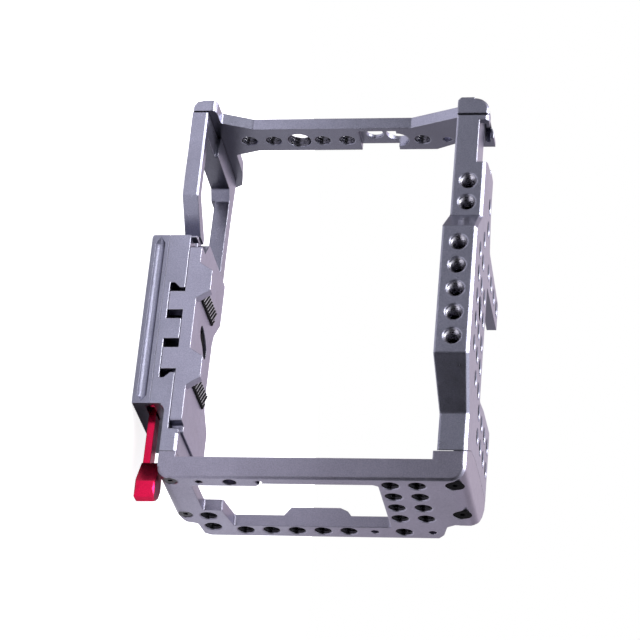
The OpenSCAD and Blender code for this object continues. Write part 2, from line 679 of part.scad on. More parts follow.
// Loose bottom plate that closes the receiver and carries the tripod threads
module base_plate() {
  groove_z = 3.6;
  groove_r = 1.8;
  color(titanium)
  difference() {
    translate([0, 0, 0]) linear_extrude(foot_t - 0.1) base_outline();
    // half-round finger groove with pointed ends
    translate([base_x + 3.4, y_front, groove_z]) rotate([0, 90, 0]) cylinder(r = groove_r, h = base_l - 6.8);
    for (s = [0, 1]) translate([base_x + 3.4 + s * (base_l - 6.8), y_front, groove_z])
      mirror([1 - s, 0, 0]) rotate([0, 90, 0]) cylinder(r1 = groove_r, r2 = 0.2, h = 2.4);
    lever_slot();
    translate([pivot[0], pivot[1], shaft_low_z - 0.4]) cylinder(r = shaft_r + shaft_fit, h = far);
    translate([pivot[0], pivot[1], -1]) cylinder(d = 9, h = 1 + shaft_low_z + 0.9);
    // tripod threads and two holes for anti-twist pins
    translate([base_x + 30, y_front + base_d / 2, 0]) thread_hole(big_thread_d, foot_t - 0.1);
    for (x = [base_x + 14, base_x + 46])
      translate([x, y_front + base_d / 2, 0]) thread_hole(small_thread_d, foot_t - 0.1);
    for (s = [-1, 1])
      translate([base_x + 30 + s * 11.5, y_front + base_d / 2 + 12, -eps]) cylinder(d = 3.4, h = 4);
    at_base_screws() base_screw_hole();
    // edge chamfers of the underside
    edge_tool([base_x + base_l / 2, y_front, 0], 0, base_l + 2, 0.5);
    edge_tool([base_x + base_l / 2, y_base_rear, 0], 0, base_l + 2, 0.5);
    edge_tool([base_x, y_front + base_d / 2, 0], 90, base_d + 2, 0.5);
    edge_tool([base_end, y_front + base_d / 2, 0], 90, base_d + 2, 0.5);
  }
}

// ---------- screws ----------

module at_base_screws() {
  for (p = [[4.2, 4.2], [41, 4.2], [4.2, base_d - 4], [base_l - 14, base_d - 4]])
    translate([base_x + p[0], y_front + p[1], 0.3]) rotate([180, 0, 0]) children();
}

module base_screw() { frame_screw(base_screw_l); }
module base_screw_hole() { frame_screw_hole(base_screw_l); }

module base_screws() {
  color(steel) at_base_screws() base_screw();
}

module grip_top_screws() { color(steel) at_corner_screws(-1, true) frame_screw(screw_l); }
module grip_bottom_screws() { color(steel) at_corner_screws(-1, false) frame_screw(screw_l); }
module port_top_screws() { color(steel) at_corner_screws(1, true) frame_screw(horn_screw_l, big_head_d); }
module port_bottom_screws() { color(steel) at_corner_screws(1, false) frame_screw(screw_l); }

// ---------- camera plate ----------

// Outline of the plate behind its front edge
module plate_outline() {
  r = y_front;
  soften(1) polygon([
    [plate_x, r], [plate_end, r], [plate_end, r + wall_d + run], [plate_port_x, r + wall_d + run],
    [plate_port_x, r + 42], [plate_port_x - 18, r + 42.4], [plate_port_x - 24, r + 35],
    [plate_port_x - 28, r + 33.2], [plate_port_x - 53, r + 34.2], [plate_port_x - 58, r + 36],
    [plate_port_x - 67, r + 44.4], [plate_grip_x, r + 45], [plate_grip_x, r + 12],
    [plate_x, r + 6.5]]);
}

// One front lip, seen from the front: foot width w, rising to a narrower top
module lip_outline(w) {
  soften(0.9) polygon([[-w / 2 - 3, -2], [-w / 2 - 3, 0], [-w / 2, 0], [-w / 2 + 3.4, lip_h],
                       [w / 2 - 3.4, lip_h], [w / 2, 0], [w / 2 + 3, 0], [w / 2 + 3, -2]]);
}

// Slot for the camera screw, along a short arc with round ends
module screw_slot(d) {
  r = 14;
  half = slot_l / 2 / r * 57.3;
  turn = slot_turn + 90;
  c = slot_p - r * [cos(turn), sin(turn)];
  ray = function (a, q) c + q * [cos(turn + a), sin(turn + a)];
  at = function (a) d / 2 * [cos(turn + a), sin(turn + a)];
  polygon(concat(
    [for (k = [-8 : 8]) ray(k * half / 8, r + d / 2)],
    [for (k = [0 : 8]) ray(half, r) + at(half + k * 22.5)],
    [for (k = [8 : -1 : -8]) ray(k * half / 8, r - d / 2)],
    [for (k = [8 : -1 : 0]) ray(-half, r) + at(-half - k * 22.5)]));
}

module pad_outline(gap) {
  w = pad_w / 2 - gap;
  soften(0.8) polygon([[-w, 9 + gap], [w, -1 + gap], [w, 21 - gap], [-w, 25.4 - gap]]);
}

module camera_plate() {
  color(titanium)
  difference() {
    union() {
      translate([0, 0, plate_low_z]) linear_extrude(plate_t) plate_outline();
      // boss that fills the channel of the receiver
      translate([boss_x, boss_front, floor_z + run])
        cube([boss_end - boss_x, boss_rear - boss_front, plate_low_z - floor_z - run + eps]);
      // tongue that the jaw clamps
      translate([boss_end - 1, tongue_y, floor_z + run])
        cube([tongue_end - boss_end + 1, tongue_w, plate_low_z - floor_z - run + eps]);
      // tabs between the teeth of the front wall
      for (i = [0, 1]) translate([tab_x[i], y_front, tab_low_z])
        cube([tab_w[i], wall_d + 1, plate_low_z - tab_low_z + eps]);
      // front lips
      translate([0, y_front + lip_t, plate_z]) rotate([90, 0, 0]) linear_extrude(lip_t) {
        translate([tab_x[0] - 4.8, 0]) lip_outline(15.6);
        translate([tab_x[1] + 8.2, 0]) lip_outline(15.8);
      }
    }
    translate([0, 0, -1]) linear_extrude(far) screw_slot(small_thread_d + 0.4);
    // well for the head of the camera screw
    translate([0, 0, 0]) linear_extrude(plate_low_z + 1.2) screw_slot(13.4);
    // pockets for the pads
    for (x = pad_x)
      translate([x, y_front + 8.5, plate_z - pad_sink]) linear_extrude(far) pad_outline(-0.05);
  }
}

module pad(i) {
  color(rubber)
  translate([pad_x[i], y_front + 8.5, plate_z - pad_sink])
    linear_extrude(pad_sink + pad_proud) pad_outline(0);
}

module grip_side_pad() { pad(0); }
module port_side_pad() { pad(1); }

// Captive screw, lowered so that its tip is under the face of the plate
module camera_screw() {
  head_z = floor_z + run + 0.1;
  color(steel)
  translate([slot_p[0], slot_p[1], 0]) difference() {
    union() {
      translate([0, 0, head_z]) cylinder(d = 12, h = 2.4);
      translate([0, 0, head_z + 2.4 - eps])
        cylinder(d = camera_screw_d, h = plate_z - screw_low - head_z - 2.4);
    }
    translate([-6.5, -0.8, head_z - 1]) cube([13, 1.6, 2.2]);
  }
}

// Clip that keeps the screw in the plate
module screw_clip() {
  color(steel)
  translate([slot_p[0], slot_p[1], plate_low_z + 0.2]) difference() {
    cylinder(d = 9.4, h = 0.8);
    translate([0, 0, -1]) cylinder(d = camera_screw_d + 0.02, h = 3);
  }
}

// ---------- lock lever, cam and jaw ----------

module lock_lever() {
  tip = x_port + lever_overhang;
  color(lever_red)
  difference() {
    union() {
      translate([0, 0, lever_z]) linear_extrude(arm_h) lever_arm();
      translate([0, 0, thumb_z]) linear_extrude(thumb_h) lever_thumb();
    }
    translate([pivot[0], pivot[1], lever_z - 1]) cylinder(r = shaft_r + 0.01, h = arm_h + 2);
    // soft edges of the thumb pad
    for (z = [thumb_z, thumb_z + thumb_h]) {
      edge_tool([tip - 4, y_front + 1.2, z], 0, 14, 0.8);
      edge_tool([tip, y_front + 5, z], 90, 12, 0.8);
    }
  }
}

module lever_arm() {
  tip = x_port + lever_overhang;
  translate(pivot) circle(r = boss_r);
  polygon([[pivot[0], pivot[1] - arm_w / 2], [tip - 12, pivot[1] - arm_w / 2 - 0.4],
           [tip - 9, pivot[1] - 1], [tip - 13, pivot[1] + arm_w / 2 - 0.6],
           [tip - 17, pivot[1] + arm_w / 2], [pivot[0], pivot[1] + arm_w / 2]]);
}

// Thumb pad seen from above: a slanted back of the flare, a broad front and a slanted rear
module lever_thumb() {
  tip = x_port + lever_overhang;
  front = y_front + 1.2;
  soften(0.5) polygon([
    [tip - 17.6, pivot[1] - arm_w / 2 - 0.4], [tip - 7, front + 0.3], [tip - 3.8, front],
    [tip - 0.8, front + 0.9],
    [tip, front + 3.6], [tip - 3.2, front + 7.8], [tip - 7, front + 9.9],
    [tip - 11.4, front + 9.4], [tip - 15, front + 10.6]]);
}

// Shaft that turns with the lever, with the cam above it
module cam_shaft() {
  color(steel)
  union() {
    translate([pivot[0], pivot[1], shaft_low_z]) cylinder(r = shaft_r, h = shaft_top_z - shaft_low_z);
    translate([pivot[0] + cam_throw * sin(cam_lead), pivot[1] + cam_throw * cos(cam_lead), cam_low_z])
      cylinder(r = cam_r, h = shaft_top_z - cam_low_z);
  }
}

// Clip under the bottom plate that keeps the shaft in
module shaft_clip() {
  color(steel)
  translate([pivot[0], pivot[1], shaft_low_z + 0.15]) difference() {
    cylinder(d = 8, h = 0.6);
    translate([0, 0, -1]) cylinder(r = shaft_r + 0.01, h = 3);
  }
}

// Jaw that the cam pushes against the tongue of the plate
module clamp_jaw() {
  color(steel)
  difference() {
    translate([jaw_x, jaw_y, floor_z + 0.3]) cube([jaw_w, jaw_d, plate_low_z - floor_z - 0.6]);
    translate(spring_p) rotate([-90, 0, 0]) cylinder(d = 2.6, h = 4);
  }
}

// Small spring that draws the jaw back when the cam lets go
module jaw_spring() {
  color(steel)
  translate(spring_p) rotate([-90, 0, 0]) difference() {
    cylinder(d = 2, h = spring_l);
    translate([0, 0, -1]) cylinder(d = 1.2, h = spring_l + 2);
  }
}

grip_side_frame();
port_side_frame();
top_plate();
bottom_frame();
base_plate();
grip_top_screws();
grip_bottom_screws();
port_top_screws();
port_bottom_screws();
base_screws();
camera_plate();
grip_side_pad();
port_side_pad();
camera_screw();
screw_clip();
lock_lever();
cam_shaft();
shaft_clip();
clamp_jaw();
jaw_spring();
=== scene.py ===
# %% [markdown]
# # A camera cage with a drop-in camera plate
# A camera cage is an open frame of milled aluminium that wraps a camera. Its walls are full of
# threaded holes for accessories, and its base here is a quick-release receiver with a red lock
# lever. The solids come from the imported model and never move. This lesson gives them their
# finishes, lines their holes with visible threads, and adds the small things that the solids
# leave out, in the same frame and in metres.

# %% Load the solids
import math
import bmesh
import bpy
from mathutils import Matrix, Vector


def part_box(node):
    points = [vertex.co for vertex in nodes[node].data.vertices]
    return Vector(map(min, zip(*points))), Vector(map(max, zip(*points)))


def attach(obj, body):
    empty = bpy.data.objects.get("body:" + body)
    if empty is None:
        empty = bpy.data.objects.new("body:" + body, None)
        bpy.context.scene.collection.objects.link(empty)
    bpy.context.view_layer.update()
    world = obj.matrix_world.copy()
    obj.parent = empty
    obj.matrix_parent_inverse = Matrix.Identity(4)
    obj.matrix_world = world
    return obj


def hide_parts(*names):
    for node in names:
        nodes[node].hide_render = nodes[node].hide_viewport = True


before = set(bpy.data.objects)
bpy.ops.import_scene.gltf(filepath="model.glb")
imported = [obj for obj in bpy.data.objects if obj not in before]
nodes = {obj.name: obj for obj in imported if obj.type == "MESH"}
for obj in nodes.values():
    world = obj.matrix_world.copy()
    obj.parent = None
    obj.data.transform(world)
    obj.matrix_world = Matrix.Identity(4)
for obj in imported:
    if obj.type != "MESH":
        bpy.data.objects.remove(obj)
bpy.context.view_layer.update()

# %% [markdown]
# ## The camera
# A long lens from about a metre away keeps the frames of the cage nearly parallel. The camera
# lies on its side, so the port side of the cage is at the bottom of the picture. It could be
# aimed with a tracking constraint; a matrix from its forward and up directions is exact.

# %% Camera
MM = 0.001                                     # a millimetre, in metres
FORWARD = Vector((-0.46607, 0.86767, -0.17347)).normalized()
UP = Vector((-0.88051, -0.47319, -0.00187))
EYE = Vector((506.50, -945.56, 253.07)) * MM
LENS_MM = 157.5
SENSOR_MM = 36.0
NEAR, FAR = 0.05, 40.0


def aim(eye, forward, up):
    """A camera's world matrix from where it stands, where it looks and what is up."""
    back = -forward.normalized()
    side = up.cross(back).normalized()
    top = back.cross(side).normalized()
    turn = Matrix((side, top, back)).transposed().to_4x4()
    return Matrix.Translation(eye) @ turn


scene = bpy.context.scene
camera_data = bpy.data.cameras.new("studio_camera")
camera_data.lens = LENS_MM
camera_data.sensor_width = SENSOR_MM
camera_data.clip_start = NEAR
camera_data.clip_end = FAR
camera = bpy.data.objects.new("studio_camera", camera_data)
camera.matrix_world = aim(EYE, FORWARD, UP)
scene.collection.objects.link(camera)
scene.camera = camera
print("camera at", [round(v, 3) for v in EYE])

# %% [markdown]
# ## Small tools for shaders
# Every finish here is made of a few nodes. These helpers keep the recipes short. They could be
# written out node by node, but a recipe that fits on one screen is easier to follow.

# %% Nodes and links


def add(tree, kind, **values):
    """One shader node with its plain properties set."""
    node = tree.nodes.new(kind)
    for name, value in values.items():
        setattr(node, name, value)
    return node


def link(tree, a, b):
    """Joins an output to an input."""
    tree.links.new(a, b)


def math_node(tree, operation, a, b, clamp=False):
    """The result of a math node; a and b are numbers or outputs."""
    node = add(tree, "ShaderNodeMath", operation=operation, use_clamp=clamp)
    for socket, value in zip(node.inputs, (a, b)):
        if isinstance(value, (int, float)):
            socket.default_value = value
        else:
            link(tree, value, socket)
    return node.outputs[0]


print("nodes can be added and linked")

# %% [markdown]
# ## Ranges and mixes
# A raw value is seldom in the range that a finish needs. One helper maps it from its own range
# to another, and one mixes two colours by it. A colour ramp could do both in one node, but two
# plain numbers at either end are easier to tune.

# %% Ranges and mixes


def spread(tree, value, low, high, to_low, to_high):
    """Maps a value from one range to another, clamped."""
    node = add(tree, "ShaderNodeMapRange")
    ends = {"From Min": low, "From Max": high, "To Min": to_low, "To Max": to_high}
    for name, number in ends.items():
        node.inputs[name].default_value = number
    link(tree, value, node.inputs["Value"])
    return node.outputs["Result"]


def blend_colour(tree, factor, a, b):
    """Mixes two colours, each a tuple or an output."""
    node = add(tree, "ShaderNodeMix", data_type="RGBA")
    link(tree, factor, node.inputs["Factor"])
    for socket, value in ((node.inputs[6], a), (node.inputs[7], b)):
        if isinstance(value, tuple):
            socket.default_value = value
        else:
            link(tree, value, socket)
    return node.outputs[2]


print("values can be mapped and mixed")

# %% [markdown]
# ## Tent of light
# The cage is lit in a white tent that is brighter behind than in front. Each patch of the tent
# has a direction and a share by which it dims or lifts the light that comes from there. The
# darkest is round the camera, where the photographer stands: it is what gives camera-facing
# metal its depth. Black cards on stands would do the same with more objects.

# %% Tent
scene.view_settings.view_transform = "Standard"
world = bpy.data.worlds.new("white_tent")
scene.world = world
world.use_nodes = True
sky = world.node_tree
sky.nodes.clear()
where = add(sky, "ShaderNodeTexCoord").outputs["Generated"]


def facing(direction):
    """How much a ray points the same way as a direction, from -1 to 1."""
    node = add(sky, "ShaderNodeVectorMath", operation="DOT_PRODUCT")
    link(sky, where, node.inputs[0])
    node.inputs[1].default_value = direction
    return node.outputs["Value"]


BACK_LIGHT, FRONT_LIGHT = 0.85, 0.51           # strength of the tent behind and in front
BACK_END, FRONT_START = -0.3, 0.6              # between these one fades into the other
# for each patch: its direction, the cosines where it starts and is full, and its share
PATCHES = {
    "camera_side": ((0.50, -0.86, -0.05), 0.57, 0.74, 0.02),
    "overhead": ((-0.30, -0.10, 0.95), 0.55, 0.90, 2.50),
    "grip_side": ((-0.95, 0.25, -0.10), 0.70, 0.95, 0.35),
    "port_rear": ((0.50, 0.85, -0.20), 0.75, 0.96, 0.92),
    "rear_card": ((-0.03, 0.87, 0.49), 0.95, 0.99, 0.55)}
glow = spread(sky, facing((0, -1, 0)), BACK_END, FRONT_START, BACK_LIGHT, FRONT_LIGHT)
for direction, start, full, share in PATCHES.values():
    patch = spread(sky, facing(direction), start, full, 1.0, share)
    glow = math_node(sky, "MULTIPLY", glow, patch)
print("tent with", len(PATCHES), "patches")

# %% [markdown]
# ## What each ray sees
# Camera rays and transmission rays see plain white, so the backdrop costs no light on the
# object. Glossy rays see the same white where they run nearly along the view, so metal mirrors
# the backdrop that the camera sees. All other rays see the tent, a little lilac towards the
# rear. The backdrop could be a real sheet, but then every other view would need its own.

# %% World
WHITE = (1, 1, 1, 1)
COOL_WHITE, LILAC_WHITE = (0.95, 0.96, 1.0, 1), (1.0, 0.87, 1.0, 1)
LILAC_SIDE, LILAC_START, LILAC_FULL = (-0.466, 0.868, 0.173), 0.2, 0.9
BACKDROP_EDGE, BACKDROP_FULL = 0.966, 0.985    # cosines of 15 and 10 degrees round the view
lilac = spread(sky, facing(LILAC_SIDE), LILAC_START, LILAC_FULL, 0.0, 1.0)
backdrop = spread(sky, facing(FORWARD), BACKDROP_EDGE, BACKDROP_FULL, 0.0, 1.0)
ray = add(sky, "ShaderNodeLightPath").outputs
mirrored = math_node(sky, "MULTIPLY", ray["Is Glossy Ray"], backdrop)
seen = math_node(sky, "MAXIMUM", ray["Is Camera Ray"], ray["Is Transmission Ray"])
seen = math_node(sky, "MAXIMUM", seen, mirrored)
tent = add(sky, "ShaderNodeBackground")
link(sky, blend_colour(sky, lilac, COOL_WHITE, LILAC_WHITE), tent.inputs["Color"])
link(sky, glow, tent.inputs["Strength"])
plain = add(sky, "ShaderNodeBackground")
plain.inputs["Color"].default_value = WHITE
plain.inputs["Strength"].default_value = 1.0
choice = add(sky, "ShaderNodeMixShader")
link(sky, seen, choice.inputs["Fac"])
link(sky, tent.outputs[0], choice.inputs[1])
link(sky, plain.outputs[0], choice.inputs[2])
link(sky, choice.outputs[0], add(sky, "ShaderNodeOutputWorld").inputs["Surface"])
print("world with", len(sky.nodes), "nodes")

# %% [markdown]
# ## Floor
# The cage stands on a small round sheet of paper; beyond its rim the tent takes over. A large
# plane would also work, but then every downward face would be lit alike.

# %% Floor
FLOOR_R = 0.36
FLOOR_DROP = 0.0002                            # keeps the paper clear of the base's own face
RIM_POINTS = 48
turns = [k * math.tau / RIM_POINTS for k in range(RIM_POINTS)]
rim = [(FLOOR_R * math.cos(turn), FLOOR_R * math.sin(turn), 0) for turn in turns]
floor_mesh = bpy.data.meshes.new("floor")
floor_mesh.from_pydata(rim, [], [tuple(range(RIM_POINTS))])
floor = bpy.data.objects.new("floor", floor_mesh)
floor.location.z = -FLOOR_DROP
scene.collection.objects.link(floor)
print("floor radius", FLOOR_R, "m")

# %% [markdown]
# ## Paper
# The pale diffuse colour of the paper catches the shadow and throws light back up at the low
# faces. A little glow, for camera rays only, brings it up to the white of the backdrop without
# any more light on the metal. A stronger lamp would also whiten it, but the cage with it.

# %% Paper
PAPER_TONE = (0.70, 0.70, 0.72, 1)
PAPER_GLOW = 0.83
paper = bpy.data.materials.new("paper")
paper.use_nodes = True
tree = paper.node_tree
tree.nodes.clear()
sheet = add(tree, "ShaderNodeBsdfDiffuse")
sheet.inputs["Color"].default_value = PAPER_TONE
lift = add(tree, "ShaderNodeEmission")
lift.inputs["Color"].default_value = WHITE
to_camera = add(tree, "ShaderNodeLightPath").outputs["Is Camera Ray"]
link(tree, math_node(tree, "MULTIPLY", to_camera, PAPER_GLOW), lift.inputs["Strength"])
both = add(tree, "ShaderNodeAddShader")
link(tree, sheet.outputs[0], both.inputs[0])
link(tree, lift.outputs[0], both.inputs[1])
link(tree, both.outputs[0], add(tree, "ShaderNodeOutputMaterial").inputs["Surface"])
floor_mesh.materials.append(paper)
print("paper glows", PAPER_GLOW, "to the camera")

# %% [markdown]
# ## Softboxes
# Two square lamps help the tent: a large one overhead gives the shadow under the cage, and a
# smaller one, high in front, draws highlights on the flanks of the threads. A sun lamp would
# give harder edges than anodised metal shows in a studio.

# %% Softboxes
MIDDLE = Vector((0.0, 0.0, 0.064))             # about half way up the cage


def softbox(name, eye, size, power):
    """A square area lamp that faces the middle of the cage."""
    data = bpy.data.lights.new(name, "AREA")
    data.shape = "SQUARE"
    data.size = size
    data.energy = power
    lamp = bpy.data.objects.new(name, data)
    lamp.location = eye
    lamp.rotation_euler = (MIDDLE - Vector(eye)).to_track_quat("-Z", "Y").to_euler()
    scene.collection.objects.link(lamp)


softbox("overhead_box", (-0.45, -0.25, 1.0), 0.6, 12)
softbox("front_box", (-0.35, -0.85, 0.80), 0.4, 3)
print("two softboxes")

# %% [markdown]
# ## Node groups
# Effects that several finishes share are node groups with named sockets. They could be copied
# into each material, but one group is mended in one place. Their sockets carry only colours and
# numbers that change over the surface; the shader itself stays in the material.

# %% Node groups


def new_group(name, inputs, outputs):
    """A node group; returns its tree, the outputs it is given and the inputs it fills."""
    tree = bpy.data.node_groups.new(name, "ShaderNodeTree")
    for label, (kind, value) in inputs.items():
        socket = tree.interface.new_socket(name=label, in_out="INPUT", socket_type=kind)
        socket.default_value = value
    for label, kind in outputs.items():
        tree.interface.new_socket(name=label, in_out="OUTPUT", socket_type=kind)
    return tree, add(tree, "NodeGroupInput").outputs, add(tree, "NodeGroupOutput").inputs


def noise(tree, vector, scale, detail, roughness):
    """A noise value at a vector; scale is in cells for each metre."""
    node = add(tree, "ShaderNodeTexNoise")
    node.inputs["Scale"].default_value = scale
    node.inputs["Detail"].default_value = detail
    node.inputs["Roughness"].default_value = roughness
    link(tree, vector, node.inputs["Vector"])
    return node.outputs["Fac"]


def scaled(tree, colour, factor):
    """A colour times a number."""
    node = add(tree, "ShaderNodeVectorMath", operation="SCALE")
    link(tree, colour, node.inputs[0])
    link(tree, factor, node.inputs["Scale"])
    return node.outputs[0]


COLOUR, NUMBER, VECTOR = "NodeSocketColor", "NodeSocketFloat", "NodeSocketVector"
NOISE = (0.3, 0.7)                             # where nearly all values of a noise lie
print("groups can be made")

# %% [markdown]
# ## Bead-blasted metal
# The frames are aluminium that was blasted with fine beads and then anodised: a fine even grain
# with no brush lines, and faint clouds where the bath took a little more or less. A flat colour
# with a rough shader would come close from afar, but the grain is what tells blasted metal from
# paint when the lens is near.

# %% Bead-blasted metal
blast, given, made = new_group(
    "blasted_anodised",
    {"Tone": (COLOUR, (0.25, 0.25, 0.3, 1)), "Edge Tone": (COLOUR, (0.7, 0.7, 0.75, 1)),
     "Roughness": (NUMBER, 0.42), "Grain": (NUMBER, 1.0), "Wear": (NUMBER, 0.4),
     "Edge": (NUMBER, 0.0004)},
    {"Color": COLOUR, "Roughness": NUMBER, "Height": NUMBER, "Normal": VECTOR})
place = add(blast, "ShaderNodeTexCoord").outputs["Object"]
grain = noise(blast, place, scale=2200.0, detail=2.0, roughness=0.6)
cloud = noise(blast, place, scale=55.0, detail=3.0, roughness=0.55)
smear = noise(blast, place, scale=320.0, detail=4.0, roughness=0.6)
shade = math_node(blast, "MULTIPLY", spread(blast, cloud, *NOISE, 0.93, 1.07),
                  spread(blast, grain, *NOISE, 0.86, 1.14))
print("grain, clouds and smears in", blast.name)

# %% [markdown]
# ## Worn edges
# Handling polishes the edges of the cage, so they are smoother; their brighter tone is partly that
# wear and partly a painted highlight. The mask compares the real normal with one that is rounded
# over less than a millimetre: they differ only beside an edge. A painted mask would also work,
# but this one follows every edge by itself.

# %% Worn edges
PLAIN_FACE, FULL_EDGE = 0.99, 0.86                      # how well the two normals agree
POLISH = 0.1                                   # how much smoother a worn edge is
KEPT = 0.35                                    # share of the wear that smears leave
rounded = add(blast, "ShaderNodeBevel", samples=4)
link(blast, given["Edge"], rounded.inputs["Radius"])
agree = add(blast, "ShaderNodeVectorMath", operation="DOT_PRODUCT")
link(blast, rounded.outputs[0], agree.inputs[0])
link(blast, add(blast, "ShaderNodeNewGeometry").outputs["Normal"], agree.inputs[1])
edge = spread(blast, agree.outputs["Value"], PLAIN_FACE, FULL_EDGE, 0.0, 1.0)
wear_and_highlight = math_node(blast, "MULTIPLY", edge, spread(blast, smear, 0.35, 0.6, KEPT, 1.0))
wear_and_highlight = math_node(blast, "MULTIPLY", wear_and_highlight, given["Wear"], clamp=True)
# edges take the edge tone: partly polish from wear, partly a painted highlight
metal_tone = blend_colour(blast, wear_and_highlight, scaled(blast, given["Tone"], shade), given["Edge Tone"])
rough = math_node(blast, "ADD", given["Roughness"], spread(blast, smear, *NOISE, -0.03, 0.04))
rough = math_node(blast, "SUBTRACT", rough, math_node(blast, "MULTIPLY", wear_and_highlight, POLISH))
link(blast, metal_tone, made["Color"])
link(blast, rough, made["Roughness"])
link(blast, math_node(blast, "MULTIPLY", grain, given["Grain"]), made["Height"])
link(blast, rounded.outputs[0], made["Normal"])
print(blast.name, "has", len(blast.nodes), "nodes")

# %% [markdown]
# ## Inner sides
# The inner sides of the frames that look to the port side are darker, most of all near the base:
# this is painted shade, standing in for the shade inside the cage. The mask uses the place and the
# direction of a face on the part. Painted vertex colours would do the same, but a mask made of
# nodes needs no painting and follows the solids.

# %% Inner sides
TO_PORT_START, TO_PORT_FULL = 0.80, 0.95       # how much a face looks to the port side
INNER_X, OUTER_X = 0.055, 0.060                # the dimming ends here, short of the port frame
LOW_Z, HIGH_Z = 0.015, 0.055
LOW_SHARE, HIGH_SHARE = 0.30, 0.50
inner, given, made = new_group("painted_light_and_shade", {"Color": (COLOUR, WHITE)}, {"Color": COLOUR})


def three(output):
    """The X, Y and Z of a vector in the painted_light_and_shade group."""
    node = add(inner, "ShaderNodeSeparateXYZ")
    link(inner, output, node.inputs[0])
    return node.outputs


def under_mask(mask, factor):
    """1 where the mask is 0, and the factor where it is 1."""
    change = math_node(inner, "SUBTRACT", factor, 1.0)
    return math_node(inner, "ADD", 1.0, math_node(inner, "MULTIPLY", mask, change))


spot = three(add(inner, "ShaderNodeTexCoord").outputs["Object"])
turned = three(add(inner, "ShaderNodeNewGeometry").outputs["True Normal"])
to_port = spread(inner, turned["X"], TO_PORT_START, TO_PORT_FULL, 0.0, 1.0)
inside = spread(inner, spot["X"], INNER_X, OUTER_X, 1.0, 0.0)
low_light = spread(inner, spot["Z"], LOW_Z, HIGH_Z, LOW_SHARE, HIGH_SHARE)
# painted shade on the inner sides, deepest near the base
inner_painted_shade = under_mask(math_node(inner, "MULTIPLY", to_port, inside), low_light)
print("inner sides keep", LOW_SHARE, "to", HIGH_SHARE, "of their tone")

# %% [markdown]
# ## Finger groove
# A half-round groove along the front of the base plate lets a finger under the cage. Its lower
# lip catches light and its upper half lies in shade. A lamp close in front would show that too,
# but it would change every other face, so the tone carries a painted highlight on the lip and
# painted shade above it.

# %% Finger groove
front_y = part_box("base_plate")[0][1]
FACE_END, GROOVE_START = 0.00004, 0.0001       # how far behind the front face it begins
GROOVE_TOP, GROOVE_FADE = 0.0060, 0.0062
LIP_Z, SHADE_Z = 0.0032, 0.0052                # heights of the lit lip and the full shade
LIP_SHARE, SHADE_SHARE = 1.7, 0.2
FRONT_FULL, FRONT_END = -0.05, -0.02           # how much a face looks to the front
behind = spread(inner, spot["Y"], front_y + FACE_END, front_y + GROOVE_START, 0.0, 1.0)
to_front = spread(inner, turned["Y"], FRONT_FULL, FRONT_END, 1.0, 0.0)
below = spread(inner, spot["Z"], GROOVE_TOP, GROOVE_FADE, 1.0, 0.0)
in_groove = math_node(inner, "MULTIPLY", math_node(inner, "MULTIPLY", behind, to_front), below)
# painted highlight on the lower lip, painted shade over the upper half
groove_painted_light = under_mask(in_groove, spread(inner, spot["Z"], LIP_Z, SHADE_Z, LIP_SHARE, SHADE_SHARE))
painted_light_left = math_node(inner, "MULTIPLY", inner_painted_shade, groove_painted_light)
link(inner, scaled(inner, given["Color"], painted_light_left), made["Color"])
print(inner.name, "has", len(inner.nodes), "nodes")

# %% [markdown]
# ## Moulded rubber
# The pads are moulded rubber: dark, dull, with fine pores and a trace of dust. A glossy coat
# would look like hard plastic, so the roughness stays high.

# %% Moulded rubber
ridged, given, made = new_group(
    "moulded_rubber",
    {"Tone": (COLOUR, (0.02, 0.02, 0.022, 1)), "Roughness": (NUMBER, 0.6)},
    {"Color": COLOUR, "Roughness": NUMBER, "Height": NUMBER})
place = add(ridged, "ShaderNodeTexCoord").outputs["Object"]
pores = noise(ridged, place, scale=1500.0, detail=3.0, roughness=0.6)
dust = noise(ridged, place, scale=180.0, detail=3.0, roughness=0.6)
dusty = spread(ridged, dust, *NOISE, 0.7, 1.5)
dull = math_node(ridged, "ADD", given["Roughness"], spread(ridged, dust, *NOISE, -0.06, 0.08))
link(ridged, scaled(ridged, given["Tone"], dusty), made["Color"])
link(ridged, dull, made["Roughness"])
link(ridged, pores, made["Height"])
print(ridged.name, "has", len(ridged.nodes), "nodes")

# %% [markdown]
# ## Materials
# Each finish is one material with its own numbers in a shared group. The metallic share is a
# plain number on the shader, and a fine bump from the grain breaks up the highlights. One
# material with a mask for every part would be harder to change.

# %% Finish maker
BUMP_HEIGHT = 0.00006                          # metres


def finish(name, group, bump, metallic, shine=0.5, shaded=False, **values):
    """A material made of one group; shaded adds the painted shade of the inner sides and the
    painted highlight and shade of the groove.
    """
    material = bpy.data.materials.new(name)
    material.use_nodes = True
    tree = material.node_tree
    shader = tree.nodes["Principled BSDF"]
    shader.inputs["Metallic"].default_value = metallic
    shader.inputs["Specular IOR Level"].default_value = shine
    source = add(tree, "ShaderNodeGroup", node_tree=group)
    for label, value in values.items():
        source.inputs[label.replace("_", " ")].default_value = value
    colour = source.outputs["Color"]
    if shaded:
        dimmer = add(tree, "ShaderNodeGroup", node_tree=inner)
        link(tree, colour, dimmer.inputs["Color"])
        colour = dimmer.outputs["Color"]
    link(tree, colour, shader.inputs["Base Color"])
    link(tree, source.outputs["Roughness"], shader.inputs["Roughness"])
    relief = add(tree, "ShaderNodeBump")
    relief.inputs["Strength"].default_value = bump
    relief.inputs["Distance"].default_value = BUMP_HEIGHT
    link(tree, source.outputs["Height"], relief.inputs["Height"])
    if "Normal" in source.outputs:
        link(tree, source.outputs["Normal"], relief.inputs["Normal"])
    link(tree, relief.outputs["Normal"], shader.inputs["Normal"])
    return material


print("finishes can be made")
